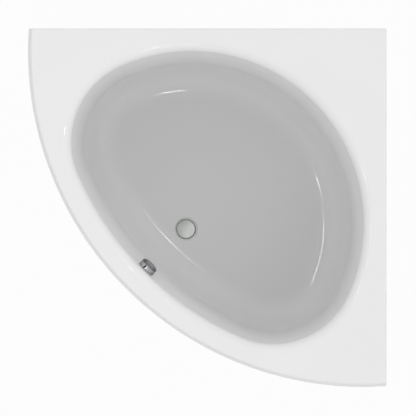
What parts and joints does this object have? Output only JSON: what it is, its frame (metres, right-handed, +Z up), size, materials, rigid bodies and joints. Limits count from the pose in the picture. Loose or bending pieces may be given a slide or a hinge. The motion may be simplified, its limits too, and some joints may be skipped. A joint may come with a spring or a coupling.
{
  "type": "corner bathtub",
  "caption": "Quarter-round white acrylic corner bath with an egg-shaped basin, rotary pop-up waste and overflow, curved front panel, frame and levelling feet.",
  "frame": {"origin": "centre of the bath's plan square, on the bathroom floor", "axes": "+Z up; the walls are the planes x = +0.7 and y = +0.7 m, the room corner lies at +x +y, and the bowed front faces -x -y"},
  "size_m": [1.4, 1.4, 0.58],
  "materials": {
    "acrylic": "white sanitary acrylic, high gloss",
    "panel": "white sanitary acrylic panel, high gloss",
    "glassfibre": "sprayed glass-fibre resin, rough",
    "board": "chipboard, resin sealed",
    "timber": "planed softwood",
    "steel": "zinc-plated steel",
    "bolt": "zinc-plated fasteners",
    "chrome": "bright chrome plating",
    "stainless": "stainless steel",
    "brass": "machined brass",
    "foot": "black moulded foot",
    "plug_black": "black moulded plastic",
    "rubber": "black rubber seal",
    "fitting": "white moulded polypropylene",
    "hose": "ribbed polypropylene hose"
  },
  "bodies": {
    "tub": {"acrylic_shell": "acrylic", "glassfibre_backing": "glassfibre", "base_board": "board", "batten_x_wall": "timber", "batten_y_wall": "timber", "front_batten": "timber", "rear_rail": "steel", "front_rail": "steel", "rail_end_plugs": "plug_black", "rail_screws": "bolt", "left_post": "steel", "right_post": "steel", "post_end_plugs": "plug_black", "left_brace": "steel", "right_brace": "steel", "brace_bolts": "bolt", "lock_nuts": "bolt", "wall_bracket_x1": "steel", "wall_bracket_x2": "steel", "wall_bracket_y1": "steel", "wall_bracket_y2": "steel", "batten_screws": "bolt", "front_panel": "panel", "panel_brackets": "steel", "panel_screws": "bolt", "waste_gasket_top": "rubber", "waste_flange": "chrome", "waste_gasket_under": "rubber", "waste_body": "fitting", "lever_pin": "stainless", "trap_body": "fitting", "trap_nuts": "fitting", "outlet_pipe": "fitting", "overflow_gasket": "rubber", "overflow_body": "fitting", "overflow_housing": "chrome", "overflow_hose": "hose", "hose_clamps": "stainless"},
    "knob": {"overflow_knob": "chrome", "knob_spindle": "brass", "cable_pulley": "plug_black"},
    "plug": {"plug_cap": "chrome", "plug_seal": "rubber", "plug_stem": "brass"},
    "lifter": {"lift_lever": "brass"},
    "foot_rear_left": {"foot_pad_rear_left": "foot", "foot_rod_rear_left": "bolt"},
    "foot_rear_right": {"foot_pad_rear_right": "foot", "foot_rod_rear_right": "bolt"},
    "foot_front_left": {"foot_pad_front_left": "foot", "foot_rod_front_left": "bolt"},
    "foot_front_right": {"foot_pad_front_right": "foot", "foot_rod_front_right": "bolt"},
    "foot_rim_left": {"foot_pad_rim_left": "foot", "foot_rod_rim_left": "bolt"},
    "foot_rim_right": {"foot_pad_rim_right": "foot", "foot_rod_rim_right": "bolt"}
  },
  "joints": [
    {"name": "knob_turn", "type": "hinge", "parent": "tub", "child": "knob", "pos_m": [-0.24052, -0.24052, 0.49], "axis": [0.6984, 0.6984, 0.1564], "range_deg": [0, 90]},
    {"name": "plug_lift", "type": "slide", "parent": "tub", "child": "plug", "axis": [0, 0, 1], "range_m": [0, 0.009]},
    {"name": "lever_tilt", "type": "hinge", "parent": "tub", "child": "lifter", "pos_m": [-0.06703, -0.06703, 0.0992], "axis": [-0.7071, 0.7071, 0], "range_deg": [0, 22.02]},
    {"name": "foot_screw_rear_left", "type": "slide", "parent": "tub", "child": "foot_rear_left", "axis": [0, 0, 1], "range_m": [-0.015, 0.015]},
    {"name": "foot_screw_rear_right", "type": "slide", "parent": "tub", "child": "foot_rear_right", "axis": [0, 0, 1], "range_m": [-0.015, 0.015]},
    {"name": "foot_screw_front_left", "type": "slide", "parent": "tub", "child": "foot_front_left", "axis": [0, 0, 1], "range_m": [-0.015, 0.015]},
    {"name": "foot_screw_front_right", "type": "slide", "parent": "tub", "child": "foot_front_right", "axis": [0, 0, 1], "range_m": [-0.015, 0.015]},
    {"name": "foot_screw_rim_left", "type": "slide", "parent": "tub", "child": "foot_rim_left", "axis": [0, 0, 1], "range_m": [-0.015, 0.015]},
    {"name": "foot_screw_rim_right", "type": "slide", "parent": "tub", "child": "foot_rim_right", "axis": [0, 0, 1], "range_m": [-0.015, 0.015]}
  ],
  "couplings": [
    {"joint": "plug_lift", "follows": "knob_turn", "m_per_rad": 0.0057295},
    {"joint": "lever_tilt", "follows": "knob_turn", "ratio": 0.24471}
  ]
}
